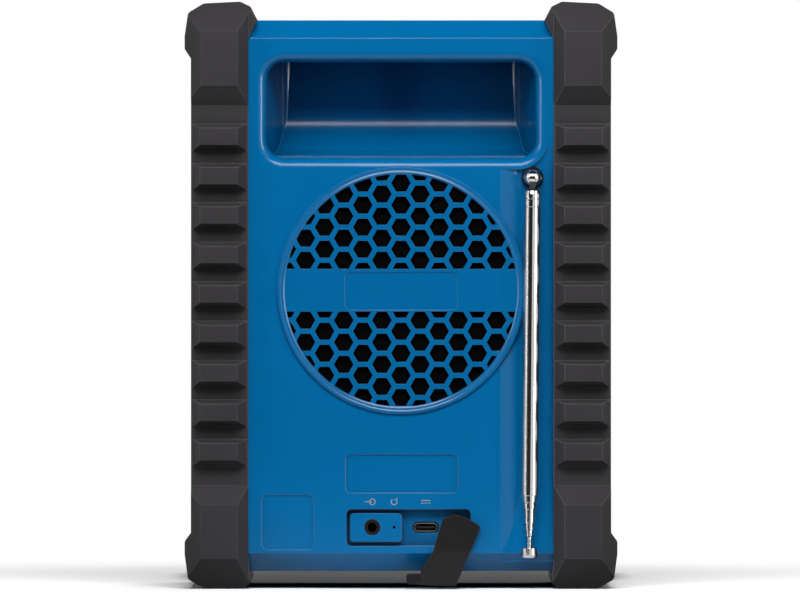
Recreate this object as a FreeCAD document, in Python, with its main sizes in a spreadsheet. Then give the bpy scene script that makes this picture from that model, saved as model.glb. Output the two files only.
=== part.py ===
import FreeCAD, Part
import math
import os
import re
from FreeCAD import Placement, Rotation, Vector

# Jobsite radio. X runs across the rear view, the photographed rear faces -Y, and the feet stand on Z = 0.
doc = FreeCAD.newDocument("jobsite_radio")

SIZES = {
    # Cabinet
    "cabinet_half": 74.0, "cabinet_bottom": 6.6, "cabinet_top": 213.6, "cabinet_back": 51.0,
    "split_plane": 8.0, "wall": 2.6, "edge_slope": 6.8, "seal_width": 1.2, "seal_depth": 1.0,
    # Bumpers
    "bumper_back": 59.0, "bumper_inner": 57.3, "bumper_outer": 81.2, "bumper_waist": 78.8,
    "bumper_top": 220.5, "strip_back": 53.0, "rib_first": 174.7, "rib_pitch": 14.78, "rib_count": 9,
    "rib_tall": 10.65, "rib_top_slope": 1.7, "rib_bottom_slope": 2.6, "window_half": 31.0,
    "window_low": 32.0, "window_high": 189.0,
    # Handle pocket
    "pocket_half": 50.5, "pocket_low": 161.8, "pocket_high": 197.8, "pocket_roof": 206.0,
    "pocket_corner": 6.6, "pocket_rim": 4.4, "pocket_round": 3.8, "rim_deep": 7.0, "pocket_wall": 2.4,
    "pocket_draft": 6.0, "pocket_back": 13.0,
    # Round grilles
    "grille_radius": 46.7, "grille_field": 43.7, "grille_spigot": 44.8, "grille_z": 112.1,
    "front_grille_z": 84.0, "grille_band": 8.0, "hex_across": 6.41, "hex_rise": 8.28,
    "hex_step": 7.17, "hex_first": 15.39, "cloth_thick": 0.5,
    # Port bay
    "bay_left": -20.5, "bay_right": 26.2, "bay_low": 16.1, "bay_high": 29.9, "bay_deep": 3.8,
    "island_left": -19.1, "island_right": 0.2, "island_low": 17.6, "island_high": 28.4,
    "island_drop": 0.9, "port_z": 23.1, "jack_x": -10.8, "reset_x": -2.6, "usb_x": 9.3,
    "jack_nose": 3.0, "jack_bore": 1.8, "jack_deep": 14.0, "usb_width": 8.94, "usb_tall": 3.26,
    "bay_floor": 2.4,
    # Rubber port cover
    "cover_x": 21.6, "cover_z": 23.0, "cover_high": 7.0, "cover_long": 22.6,
    "cover_thick": 2.2, "cover_gap": 0.4, "cover_kick": 3.2, "plug_long": 4.6, "stem_radius": 1.55,
    # Antenna, hanging from its pivot
    "pivot_x": 49.3, "pivot_y": -55.6, "pivot_z": 154.4, "antenna_lean": 0.5, "swivel_radius": 3.25,
    "slot_width": 2.4, "tang_thick": 2.1, "eye_radius": 2.6, "pin_radius": 0.75, "fit": 0.05,
    "tube_top": -5.0, "rod_radius": 0.8, "bush_radius": 4.05, "channel_deep": 2.4, "tip_radius": 3.1,
    "tip_tall": 3.9,
    # Front controls
    "fascia_half": 56.8, "fascia_low": 22.0, "fascia_high": 205.0, "fascia_thick": 2.0,
    "display_half": 28.0, "display_low": 154.5, "display_high": 192.5, "knob_x": 42.0,
    "knob_z": 173.5, "knob_radius": 12.6, "knob_tall": 5.0, "shaft_radius": 3.0, "button_z": 144.0,
    "button_pitch": 15.0, "button_wide": 11.0, "button_tall": 7.0, "button_gap": 0.3,
    "board_y": 38.0, "board_thick": 1.6, "main_board_y": 14.0,
    # Speaker, battery and screws
    "speaker_radius": 50.0, "speaker_screw_circle": 47.4, "screw_x": 67.2, "screw_radius": 1.85,
    "screw_head": 3.3,
    "cell_radius": 9.2, "cell_long": 65.0, "cell_z": 20.0, "foot_screw_x": 67.0, "foot_screw_y": 30.0,
}
D = type("Dimensions", (), SIZES)

# Telescopic sections: outer radius, and the height at which each one ends when it is pushed in
TUBES = [(3.1, 35.0), (2.7, 32.6), (2.35, 29.9), (2.0, 24.7), (1.65, 22.2), (1.3, 19.8)]
ROD_END = 15.6
SCREW_HEIGHTS = [24.0, 110.0, 196.0]
BOARD_POSTS = [(x, z) for x in (-50.0, 50.0) for z in (139.5, 193.0)]
CELL_PLACES = [-8.0, 12.0]

sheet = doc.addObject("Spreadsheet::Sheet", "sizes")
for line, (name, value) in enumerate(SIZES.items(), start=1):
    sheet.set(f"A{line}", name)
    sheet.set(f"B{line}", str(value))
    sheet.setAlias(f"B{line}", name)
doc.recompute()

AXIS_TURN = {
    "X": Rotation(Vector(0, 1, 0), 90),
    "Y": Rotation(Vector(1, 0, 0), -90),
    "Z": Rotation(),
}
PLANE_AXIS = {"YZ_Plane": "X", "XZ_Plane": "Y", "XY_Plane": "Z"}
parts = {}


# Helpers

def formula(text):
    """The same formula with each name pointing at its cell."""
    return re.sub(r"[a-z]\w*", lambda word: "sizes." + word[0] if word[0] in SIZES else word[0], str(text))


def bind(thing, **formulas):
    for key, text in formulas.items():
        thing.setExpression(key, formula(text))


def put(thing, x="0", y="0", z="0", turn=None):
    """Place a thing at three formulas, turned first."""
    if turn is not None:
        thing.Placement = Placement(Vector(), turn)
    for axis, text in zip("xyz", (x, y, z)):
        thing.setExpression("Placement.Base." + axis, formula(text))
    return thing


def block(name, x, y, z):
    """A box between two formulas along each axis."""
    thing = doc.addObject("Part::Box", name)
    bind(thing, Length=f"({x[1]})-({x[0]})", Width=f"({y[1]})-({y[0]})", Height=f"({z[1]})-({z[0]})")
    return put(thing, x[0], y[0], z[0])


def rod(name, axis, radius, low, high, across):
    """A cylinder along an axis, from low to high, centred on the two other coordinates."""
    thing = doc.addObject("Part::Cylinder", name)
    bind(thing, Radius=radius, Height=f"({high})-({low})")
    place = list(across)
    place.insert("XYZ".index(axis), low)
    return put(thing, *place, turn=AXIS_TURN[axis])


def fuse(name, *things):
    thing = doc.addObject("Part::MultiFuse", name)
    thing.Shapes = list(things)
    return thing


def common(name, *things):
    thing = doc.addObject("Part::MultiCommon", name)
    thing.Shapes = list(things)
    return thing


def group(name, *things):
    thing = doc.addObject("Part::Compound", name)
    thing.Links = list(things)
    return thing


def cut(name, base, *tools):
    thing = doc.addObject("Part::Cut", name)
    thing.Base = base
    thing.Tool = tools[0] if len(tools) == 1 else fuse(name + "_tools", *tools)
    return thing


def outline(points, radii=0.0):
    """Lines and tangent arcs round a closed outline, with a radius at each corner."""
    count = len(points)
    radii = [radii] * count if isinstance(radii, (int, float)) else radii
    corners = []
    for k, (x, y) in enumerate(points):
        here = Vector(x, y, 0)
        back = (Vector(*points[k - 1], 0) - here).normalize()
        on = (Vector(*points[(k + 1) % count], 0) - here).normalize()
        half = back.getAngle(on) / 2
        if radii[k] and half < math.pi / 2 - 1e-6:
            run = radii[k] / math.tan(half)
            middle = here + (back + on).normalize() * (radii[k] / math.sin(half) - radii[k])
            corners.append((here + back * run, middle, here + on * run))
        else:
            corners.append((here, None, here))
    edges = []
    for k, (start, middle, end) in enumerate(corners):
        if middle is not None:
            edges.append(Part.Arc(start, middle, end))
        following = corners[(k + 1) % count][0]
        if (following - end).Length > 1e-6:
            edges.append(Part.LineSegment(end, following))
    return edges


def rectangle(low_x, high_x, low_y, high_y, radius=0.0):
    return outline([(low_x, low_y), (high_x, low_y), (high_x, high_y), (low_x, high_y)], radius)


def body_with_sketch(name, plane, edges):
    body = doc.addObject("PartDesign::Body", name)
    sketch = body.newObject("Sketcher::SketchObject", name + "_sketch")
    face = next(f for f in body.Origin.OriginFeatures if f.Role == plane)
    sketch.AttachmentSupport = [(face, "")]
    sketch.MapMode = "FlatFace"
    sketch.addGeometry(edges, False)
    return body, sketch


def prism(name, plane, edges, low, high):
    """An outline drawn on a plane and extruded from low to high along the plane's axis."""
    body, sketch = body_with_sketch(name, plane, edges)
    pad = body.newObject("PartDesign::Pad", name + "_pad")
    pad.Profile = sketch
    pad.Reversed = plane == "XZ_Plane"
    bind(pad, Length=f"({high})-({low})")
    return put(body, **{PLANE_AXIS[plane].lower(): low})


def turned(name, plane, edges, x="0", y="0", z="0"):
    """An outline turned about its own upright axis: the Y axis on XY_Plane, Z on XZ_Plane."""
    body, sketch = body_with_sketch(name, plane, edges)
    revolution = body.newObject("PartDesign::Revolution", name + "_revolution")
    revolution.Profile = sketch
    revolution.ReferenceAxis = (sketch, ["V_Axis"])
    return put(body, x, y, z)


def keep(name, thing):
    """Register a finished piece under the name of its node."""
    thing.Label = name
    parts[name] = thing
    return thing


# Cabinet

def cabinet_section(inset, low_y, high_y):
    """The cabinet's side view with sloped outer edges, drawn smaller by an inset."""
    bottom, top = D.cabinet_bottom + inset, D.cabinet_top - inset
    slope = D.edge_slope - inset * 0.4
    points = []
    if low_y < 0:
        points += [(low_y, top - slope), (low_y, bottom + slope), (low_y + slope, bottom)]
    else:
        points += [(low_y, top), (low_y, bottom)]
    if high_y > D.cabinet_back - 5:
        points += [(high_y - slope, bottom), (high_y, bottom + slope),
                   (high_y, top - slope), (high_y - slope, top)]
    else:
        points += [(high_y, bottom), (high_y, top)]
    if low_y < 0:
        points.append((low_y + slope, top))
    return outline(points)


def seal_ring():
    middle = D.wall / 2
    half = D.seal_width / 2

    def frame(inset):
        return rectangle(-D.cabinet_half + inset, D.cabinet_half - inset,
                         D.cabinet_bottom + inset, D.cabinet_top - inset, 0.5)

    edges = frame(middle - half) + frame(middle + half)
    return prism("seal_ring", "XZ_Plane", edges, "split_plane-seal_depth", "split_plane+seal_depth")


def screw_columns(name, radius, low, high):
    return [rod(f"{name}_{side}_{k}", "Y", radius, low, high, (f"{side}*screw_x", str(height)))
            for side in (-1, 1) for k, height in enumerate(SCREW_HEIGHTS)]


def pocket_plan(name, extra):
    """The pocket from above, its side walls drawing in towards the back, grown by an extra wall."""
    half, back = D.pocket_half + extra, extra - D.pocket_back
    straight = D.rim_deep - D.cabinet_back
    narrow = half - D.pocket_draft
    edges = outline([(-half, -56), (half, -56), (half, straight), (narrow, back), (-narrow, back),
                     (-half, straight)], [0, 0, 4, 5 + extra, 5 + extra, 4])
    return prism(name, "XY_Plane", edges, "150", "212")


def pocket_cavity():
    """The finger pocket: straight in from the rear, then hooked up behind the grip."""
    side = outline([(-53, D.pocket_low), (-24, D.pocket_low + 2.7), (-14, D.pocket_low + 9),
                    (-D.pocket_back, D.pocket_roof), (-36, D.pocket_roof), (-40, D.pocket_high),
                    (-53, D.pocket_high)], [0, 16, 14, 4, 4, 3, 0])
    face = rectangle(-D.pocket_half, D.pocket_half, D.pocket_low, D.pocket_roof, D.pocket_corner)
    return common("pocket_cavity", prism("pocket_side", "YZ_Plane", side, "-pocket_half", "pocket_half"),
                  prism("pocket_face", "XZ_Plane", face, "-55", "-5"), pocket_plan("pocket_plan", 0))


def pocket_walls():
    wall = D.pocket_wall
    side = outline([(-49, D.pocket_low - wall), (-23, D.pocket_low - wall + 2.5),
                    (-12, D.pocket_low + 7.4), (-10.6, D.pocket_roof + wall),
                    (-38, D.pocket_roof + wall), (-42.4, D.pocket_high + wall),
                    (-49, D.pocket_high + wall)], [0, 6, 6, 5, 5, 3, 0])
    return common("pocket_walls",
                  prism("pocket_wall_side", "YZ_Plane", side, "-pocket_half-pocket_wall",
                        "pocket_half+pocket_wall"),
                  pocket_plan("pocket_wall_plan", wall))


def pocket_rim():
    """The rounded lip round the mouth of the pocket."""
    rim = D.pocket_rim
    outer = rectangle(-D.pocket_half - rim, D.pocket_half + rim, D.pocket_low - rim,
                      D.pocket_high + rim, D.pocket_corner + rim)
    inner = rectangle(-D.pocket_half, D.pocket_half, D.pocket_low, D.pocket_high, D.pocket_corner)
    ring = prism("pocket_rim_ring", "XZ_Plane", outer + inner, "-cabinet_back", "rim_deep-cabinet_back")
    doc.recompute()
    mouth = [k + 1 for k, edge in enumerate(ring.Shape.Edges)
             if abs(edge.BoundBox.YMax + D.cabinet_back) < 1e-6
             and abs(edge.CenterOfMass.x) < D.pocket_half + 0.01
             and D.pocket_low - 0.01 < edge.CenterOfMass.z < D.pocket_high + 0.01]
    fillet = doc.addObject("Part::Fillet", "pocket_rim")
    fillet.Base = ring
    fillet.Edges = [(number, D.pocket_round, D.pocket_round) for number in mouth]
    return fillet


def antenna_channel():
    """A shallow trough with soft ends and a soft left side, under the hanging antenna."""
    panel = -D.cabinet_back - 0.01
    floor, clear = D.channel_deep - D.cabinet_back, panel - 3
    across = outline([(30, panel), (40.5, panel), (46, floor), (D.bumper_inner, floor),
                      (D.bumper_inner, clear), (30, clear)], [0, 20, 12, 0, 0, 0])
    along = outline([(panel, 6), (panel, 14), (floor, 42), (floor, 148), (panel, 168), (panel, 176),
                     (clear, 176), (clear, 6)], [0, 30, 40, 30, 30, 0, 0, 0])
    return common("antenna_channel", prism("channel_across", "XY_Plane", across, "5", "180"),
                  prism("channel_along", "YZ_Plane", along, "29", "60"))


def port_bay():
    bay = prism("bay_outline", "XZ_Plane",
                rectangle(D.bay_left, D.bay_right, D.bay_low, D.bay_high, 1.9),
                "-cabinet_back-1", "bay_deep-cabinet_back")
    island = prism("island_outline", "XZ_Plane",
                   rectangle(D.island_left, D.island_right, D.island_low, D.island_high, 1.4),
                   "island_drop-cabinet_back", "bay_deep-cabinet_back+1")
    return cut("port_bay", bay, island)


def port_holes():
    through = ("-cabinet_back-1", "bay_deep+bay_floor+1-cabinet_back")
    slot = prism("usb_hole", "XZ_Plane",
                 rectangle(D.usb_x - 5.0, D.usb_x + 5.0, D.port_z - 2.1, D.port_z + 2.1, 2.0), *through)
    return [
        rod("jack_hole", "Y", "jack_nose+fit", *through, ("jack_x", "port_z")),
        rod("reset_pinhole", "Y", 0.6, *through, ("reset_x", "port_z")),
        rod("stem_hole", "Y", "stem_radius+fit", *through, ("cover_x", "cover_z")),
        slot,
    ]


def label_recesses():
    """Two shallow bare recesses in the rear panel."""
    depth = ("-cabinet_back-0.5", "0.4-cabinet_back")
    return [
        prism("lower_label", "XZ_Plane", rectangle(-20.8, 21.4, 36.0, 50.4, 2.0), *depth),
        prism("left_label", "XZ_Plane", rectangle(-52.3, -32.8, 14.8, 35.2, 2.3), *depth),
    ]


def rear_shell(seal):
    outer = prism("rear_outer", "YZ_Plane", cabinet_section(0, -D.cabinet_back, D.split_plane),
                  "-cabinet_half", "cabinet_half")
    inner = prism("rear_inner", "YZ_Plane",
                  cabinet_section(D.wall, -D.cabinet_back + D.wall, D.split_plane + 1),
                  "wall-cabinet_half", "cabinet_half-wall")
    skin = cut("rear_skin", outer, inner)
    inside = "wall-cabinet_back"
    walls = fuse(
        "rear_walls", skin, pocket_walls(),
        block("bay_block", ("bay_left-2.5", "bay_right+2.5"), (inside, "bay_deep+bay_floor-cabinet_back"),
              ("bay_low-2.5", "bay_high+2.5")),
        block("channel_block", ("38", "62"), (inside, "channel_deep*2-cabinet_back"), ("10", "173")),
        rod("antenna_boss", "Y", 7.0, inside, "-41", ("pivot_x", "pivot_z")),
        *screw_columns("rear_boss", 4.6, inside, "split_plane"),
    )
    mouth = prism("pocket_mouth", "XZ_Plane",
                  rectangle(-D.pocket_half - D.pocket_rim, D.pocket_half + D.pocket_rim,
                            D.pocket_low - D.pocket_rim, D.pocket_high + D.pocket_rim,
                            D.pocket_corner + D.pocket_rim),
                  "-cabinet_back-1", "rim_deep-cabinet_back")
    hollowed = cut("rear_hollowed", walls, mouth, pocket_cavity(), antenna_channel())
    ring = rod("grille_seat", "Y", "grille_radius", "-cabinet_back", "4.4-cabinet_back", ("0", "grille_z"))
    joined = fuse("rear_joined", hollowed, pocket_rim(), ring)
    tools = [
        rod("grille_opening", "Y", "grille_spigot+fit", "-60", "-40", ("0", "grille_z")),
        rod("bush_hole", "Y", "bush_radius+fit", "-60", "-40", ("pivot_x", "pivot_z")),
        port_bay(), seal, *port_holes(), *label_recesses(),
        *screw_columns("rear_bore", "screw_radius+fit", "-60", "split_plane+1"),
        *screw_columns("head_bore", "screw_head+0.3", "-60", "4-cabinet_back"),
        *foot_screw_rods("rear_foot_bore", "screw_radius+fit", "0", "cabinet_bottom+wall+1"),
    ]
    return keep("rear_shell", cut("rear_shell", joined, *tools))


def button_places():
    """From left to right as the front is seen."""
    return [(2.5 - k) * D.button_pitch for k in range(6)]


def control_holes(name, low, high):
    """Openings for the display, the two knob shafts and the row of buttons."""
    wide, tall = D.button_wide / 2 + D.button_gap, D.button_tall / 2 + D.button_gap
    holes = [rod(f"{name}_shaft_{side}", "Y", "shaft_radius+0.6", low, high, (f"{side}*knob_x", "knob_z"))
             for side in (-1, 1)]
    for k, x in enumerate(button_places()):
        edges = rectangle(x - wide, x + wide, D.button_z - tall, D.button_z + tall, 2.2)
        holes.append(prism(f"{name}_button_{k}", "XZ_Plane", edges, low, high))
    holes.append(rod(f"{name}_speaker", "Y", "grille_spigot+fit", low, high, ("0", "front_grille_z")))
    return holes


def front_shell(seal):
    outer = prism("front_outer", "YZ_Plane", cabinet_section(0, D.split_plane, D.cabinet_back),
                  "-cabinet_half", "cabinet_half")
    inner = prism("front_inner", "YZ_Plane",
                  cabinet_section(D.wall, D.split_plane - 1, D.cabinet_back - D.wall),
                  "wall-cabinet_half", "cabinet_half-wall")
    skin = cut("front_skin", outer, inner)
    posts = [rod(f"board_post_{k}", "Y", 3.2, "board_y+board_thick", "cabinet_back-wall", (str(x), str(z)))
             for k, (x, z) in enumerate(BOARD_POSTS)]
    walls = fuse("front_walls", skin, *posts,
                 *screw_columns("front_boss", 4.6, "split_plane", "27"))
    display = block("display_opening", ("3-display_half", "display_half-3"), ("40", "60"),
                    ("display_low+2", "display_high-2"))
    tools = [display, seal, *control_holes("front_wall", "40", "60"),
             *screw_columns("front_bore", "screw_radius+fit", "split_plane-1", "23"),
             *foot_screw_rods("front_foot_bore", "screw_radius+fit", "0", "cabinet_bottom+wall+1")]
    return keep("front_shell", cut("front_shell", walls, *tools))


def front_fascia():
    plate = prism("fascia_plate", "XZ_Plane",
                  rectangle(-D.fascia_half, D.fascia_half, D.fascia_low, D.fascia_high, 5.0),
                  "cabinet_back", "cabinet_back+fascia_thick")
    window = prism("fascia_window", "XZ_Plane",
                   rectangle(-D.display_half, D.display_half, D.display_low, D.display_high, 3.0),
                   "cabinet_back-1", "cabinet_back+fascia_thick+1")
    holes = control_holes("fascia", "cabinet_back-1", "cabinet_back+fascia_thick+1")
    keep("front_fascia", cut("front_fascia", plate, window, *holes))


# Bumpers

def bumper_silhouette():
    """The right bumper as it is seen from the rear."""
    inner, outer, waist, top = D.bumper_inner, D.bumper_outer, D.bumper_waist, D.bumper_top
    return outline([
        (inner - 0.7, 2.1), (inner + 2, 0), (73.6, 0), (79.9, 3.6), (outer, 13.1), (outer, 17.9),
        (waist, 21.2), (waist, 199.0), (outer, 202.6), (outer, 207.4), (79.9, 216.2), (74.1, 219.8),
        (60.4, top), (56.5, 218.6), (53.9, D.cabinet_top), (inner, 207.0), (inner, 12.5)],
        [1, 1, 3, 2, 2, 2, 0, 0, 2, 2, 2, 3, 1.5, 1, 0, 0, 0])


def bumper_side():
    """The bumper as it is seen from the side, with an end block at each corner."""
    back, strip, top = D.bumper_back, D.strip_back, D.bumper_top
    half = [(-back, 209.1), (-back, 188.8), (-strip, 181.5), (-strip, 38.9), (-back, 31.7),
            (-back, 11.5), (-back + 8.5, 0)]
    other = [(-y, z) for y, z in reversed(half)]
    return outline(half + other + [(back - 9, top), (-back + 9, top)])


def bumper_section():
    """The bumper as it is seen from above, with sloped corners."""
    inner, outer, back, strip = D.bumper_inner, D.bumper_outer, D.bumper_back, D.strip_back
    half = [(53.9, -strip), (inner, -strip), (inner + 4, -back), (75.2, -back), (outer, -53.0)]
    other = [(x, -y) for x, y in reversed(half)]
    return outline(half + other)


def rib(name, index, front):
    """One frustum-shaped rib on the strip of a column."""
    thing = doc.addObject("Part::Wedge", name)
    top = f"rib_first-{index}*rib_pitch"
    near, far = ("bumper_inner", "bumper_waist-0.2") if front else ("0.2-bumper_waist", "-bumper_inner")
    bind(thing, Xmin=near, Xmax=far, X2min=f"{near}+4" if front else f"{near}+3.2",
         X2max=f"{far}-3.2" if front else f"{far}-4", Ymin="strip_back-1", Ymax="bumper_back",
         Zmin=f"{top}-rib_tall", Zmax=top, Z2min=f"{top}-rib_tall+rib_bottom_slope",
         Z2max=f"{top}-rib_top_slope")
    if not front:
        thing.Placement = Placement(Vector(), Rotation(Vector(0, 0, 1), 180))
    return thing


def foot_screw_rods(name, radius, low, high):
    return [rod(f"{name}_{x}_{y}", "Z", radius, low, high, (f"{x}*foot_screw_x", f"{y}*foot_screw_y"))
            for x in (-1, 1) for y in (-1, 1)]


def bumpers():
    envelope = prism("cabinet_envelope", "YZ_Plane",
                     cabinet_section(0, -D.cabinet_back, D.cabinet_back),
                     "-cabinet_half", "cabinet_half")
    blank = common("bumper_blank",
                   prism("bumper_rear_view", "XZ_Plane", bumper_silhouette(), "-70", "70"),
                   prism("bumper_side_view", "YZ_Plane", bumper_side(), "40", "90"),
                   prism("bumper_top_view", "XY_Plane", bumper_section(), "-5", "230"))
    ribs = [rib(f"rib_{side}_{k}", k, front) for side, front in (("rear", False), ("front", True))
            for k in range(int(D.rib_count))]
    window = prism("bumper_window", "YZ_Plane",
                   rectangle(-D.window_half, D.window_half, D.window_low, D.window_high, 9.0), "70", "90")
    ribbed = fuse("bumper_ribbed", blank, *ribs)
    steps = (("head", "screw_head+0.3", "3.4"), ("shank", "screw_radius+fit", "10"))
    bores = [rod(f"foot_{step}_bore_{y}", "Z", radius, "-1", high, ("foot_screw_x", f"{y}*foot_screw_y"))
             for step, radius, high in steps for y in (-1, 1)]
    right = keep("right_bumper", cut("right_bumper", ribbed, envelope, window, *bores))
    left = doc.addObject("Part::Mirroring", "left_bumper")
    left.Source = right
    left.Normal = Vector(1, 0, 0)
    keep("left_bumper", left)


# Grilles and cloths

def hexagon_centres():
    """Columns of flat-topped holes, mirrored about the middle band."""
    reach = int(D.grille_field / D.hex_step) + 1
    for column in range(-reach, reach + 1):
        first = D.hex_first if column % 2 == 0 else D.hex_first - D.hex_rise / 2
        for row in range(-1, 6):
            height = first + row * D.hex_rise
            if math.hypot(column * D.hex_step, height) < D.grille_field + D.hex_across:
                yield column * D.hex_step, height
                yield column * D.hex_step, -height


def hexagon_holes(name, height, low, high):
    """The field of holes, clipped by the rim and the middle band."""
    radius = D.hex_across / math.sqrt(3)
    prisms = []
    for x, z in hexagon_centres():
        turns = [math.radians(60 * k) for k in range(7)]
        ring = [Vector(x + radius * math.cos(turn), low, z + radius * math.sin(turn)) for turn in turns]
        prisms.append(Part.Face(Part.makePolygon(ring)).extrude(Vector(0, high - low, 0)))
    centre = Vector(0, low, 0)
    field = Part.makeCylinder(D.grille_field, high - low, centre, Vector(0, 1, 0))
    band = Part.makeBox(200, high - low + 2, 2 * D.grille_band, Vector(-100, low - 1, -D.grille_band))
    shape = Part.makeCompound(prisms).common(field.cut(band))
    slivers = [solid for solid in shape.Solids if solid.Volume > 1.2 * (high - low)]
    thing = doc.addObject("Part::Feature", name)
    thing.Shape = Part.makeCompound(slivers)
    return put(thing, z=height)


def grille(name, face, side, height, label):
    """A round plate with a raised double rim. side is -1 when it faces the rear."""
    profile = [(0, 0.9), (D.grille_field, 0.9), (44.3, 1.2), (45.0, 1.0), (45.5, 1.2), (46.2, 1.2),
               (D.grille_radius, 0.6), (D.grille_radius, 0), (D.grille_spigot, 0),
               (D.grille_spigot, -3.8), (D.grille_spigot - 1.4, -3.8), (D.grille_spigot - 1.4, -1.3),
               (0, -1.3)]
    edges = outline([(radius, side * depth) for radius, depth in profile])
    plate = turned(name + "_plate", "XY_Plane", edges, "0", f"{side}*({face})", height)
    level = side * (D.cabinet_back + (D.fascia_thick if side > 0 else 0))
    tools = [hexagon_holes(name + "_holes", height, level - 3, level + 3)]
    if label:
        tools.append(prism(name + "_label", "XZ_Plane", rectangle(-21.1, 21.1, 104.7, 118.9, 2.0),
                           "-cabinet_back-2", "-cabinet_back-0.55"))
    keep(name, cut(name, plate, *tools))
    inner = f"{side}*({face})-{side}*1.3"
    low, high = (inner, f"{inner}+cloth_thick") if side < 0 else (f"{inner}-cloth_thick", inner)
    keep(name + "_cloth", rod(name + "_cloth", "Y", "grille_spigot-1.5", low, high, ("0", height)))


# Speaker and bass radiator

def speaker_screw_places():
    """The middles of the four screws round the speaker."""
    circle = D.speaker_screw_circle
    return [(f"{circle * math.cos(turn):.3f}", f"front_grille_z+{circle * math.sin(turn):.3f}")
            for turn in (math.radians(45 + 90 * k) for k in range(4))]


def speaker():
    place = ("0", "0", "front_grille_z")
    basket = outline([(24, 26.4), (31, 26.4), (40, 45.9), (D.speaker_radius, 45.9), (D.speaker_radius, 48.3),
                      (38.5, 48.3), (38.5, 47.3), (29.4, 28.4), (24, 28.4)])
    frame = turned("basket_frame", "XY_Plane", basket, *place)
    holes = [rod(f"basket_hole_{k}", "Y", 1.7, "40", "50", across)
             for k, across in enumerate(speaker_screw_places())]
    keep("speaker_basket", cut("speaker_basket", frame, *holes))
    magnet = outline([(0, 10), (30, 10), (30, 24), (23.5, 24), (23.5, 28.4), (0, 28.4)], [0, 2, 1, 0, 0, 0])
    keep("speaker_magnet", turned("speaker_magnet", "XY_Plane", magnet, *place))
    cone = outline([(12, 31), (13, 31), (33, 43.6), (34, 45.6), (36, 46.8), (37.75, 45.9), (38.1, 46.6),
                    (36, 47.6), (33.4, 46.4), (32, 44.4), (12, 32)])
    keep("speaker_cone", turned("speaker_cone", "XY_Plane", cone, *place))
    cap = outline([(0, 32.6), (12.8, 32.6), (12.8, 33.1), (10.6, 36.0), (5, 37.8), (0, 37.8)],
                  [0, 0, 0, 6, 8, 0])
    keep("speaker_dust_cap", turned("speaker_dust_cap", "XY_Plane", cap, *place))
    screws = [fuse(f"speaker_screw_{k}", rod(f"speaker_shank_{k}", "Y", 1.4, "44", "48.3", across),
                   rod(f"speaker_head_{k}", "Y", 2.4, "43", "45.9", across))
              for k, across in enumerate(speaker_screw_places())]
    keep("speaker_screws", group("speaker_screws", *screws))


def bass_radiator():
    place = ("0", "0", "grille_z")
    frame = outline([(38, -46.4), (43.2, -46.4), (43.2, -43.6), (38, -43.6)])
    keep("radiator_frame", turned("radiator_frame", "XY_Plane", frame, *place))
    plate = outline([(0, -45.2), (26, -45.2), (28.5, -44.4), (31, -46.6), (35, -46.6), (37.9, -45.4),
                     (37.9, -44.4), (35, -45.6), (31, -45.6), (28.5, -42.6), (0, -42.6)])
    keep("radiator_diaphragm", turned("radiator_diaphragm", "XY_Plane", plate, *place))


# Front controls

def display():
    half = D.display_half - D.fit
    pane = rectangle(-half, half, D.display_low + D.fit, D.display_high - D.fit, 3.0)
    keep("display_window", prism("display_window", "XZ_Plane", pane, "cabinet_back",
                                 "cabinet_back+fascia_thick"))
    keep("display_module", block("display_module", ("-24", "24"), ("board_y+board_thick", "47.8"),
                                 ("display_low+3", "display_high-3")))


def knob(name, side):
    x, foot = f"{side}*knob_x", "cabinet_back+fascia_thick+0.5"
    profile = outline([(0, 0), (D.knob_radius + 0.6, 0), (D.knob_radius + 0.6, 1.2), (D.knob_radius, 1.6),
                       (D.knob_radius - 0.5, D.knob_tall), (D.knob_radius - 3, D.knob_tall),
                       (D.knob_radius - 3.6, D.knob_tall - 0.6), (0, D.knob_tall - 0.6)],
                      [0, 0.4, 0.3, 0, 0.8, 0.4, 0.4, 0])
    blank = turned(name + "_blank", "XY_Plane", profile, x, foot, "knob_z")
    bore = rod(name + "_bore", "Y", "shaft_radius", "50", f"{foot}+3", (x, "knob_z"))
    flutes = []
    for k in range(30):
        turn = math.radians(12 * k)
        flutes.append(rod(f"{name}_flute_{k}", "Y", 0.55, f"{foot}+1.9", f"{foot}+knob_tall+1",
                          (f"{x}+{(D.knob_radius + 0.15) * math.cos(turn):.4f}",
                           f"knob_z+{(D.knob_radius + 0.15) * math.sin(turn):.4f}")))
    pointer = block(name + "_pointer", (f"{x}-0.5", f"{x}+0.5"),
                    (f"{foot}+knob_tall-1", f"{foot}+knob_tall+1"), ("knob_z+4", "knob_z+9.6"))
    keep(name, cut(name, blank, bore, pointer, *flutes))
    control = name.split("_")[0]
    keep(control + "_shaft", rod(control + "_shaft", "Y", "shaft_radius", "46.2", f"{foot}+3", (x, "knob_z")))
    keep(control + "_encoder", block(control + "_encoder", (f"{x}-6.5", f"{x}+6.5"),
                                     ("board_y+board_thick", "46"), ("knob_z-6.5", "knob_z+6.5")))


def buttons():
    wide, tall = D.button_wide / 2, D.button_tall / 2
    names = ["power_button", "preset_button_1", "preset_button_2", "preset_button_3", "preset_button_4",
             "mode_button"]
    switches = []
    for name, x in zip(names, button_places()):
        cap = prism(name + "_cap", "XZ_Plane",
                    rectangle(x - wide, x + wide, D.button_z - tall, D.button_z + tall, 2.0), "46.6",
                    "cabinet_back+fascia_thick+1.5")
        flange = block(name + "_flange", (f"{x}-6.6", f"{x}+6.6"), ("46.6", "47.9"),
                       ("button_z-4.4", "button_z+4.4"))
        stem = rod(name + "_stem", "Y", 1.5, "44.6", "46.6", (str(x), "button_z"))
        keep(name, fuse(name, cap, flange, stem))
        switches.append(fuse(name + "_switch",
                             block(name + "_switch_case", (f"{x}-3", f"{x}+3"), ("board_y+board_thick", "43"),
                                   ("button_z-3", "button_z+3")),
                             rod(name + "_plunger", "Y", 1.7, "43", "43.6", (str(x), "button_z"))))
    keep("button_switches", group("button_switches", *switches))


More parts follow.
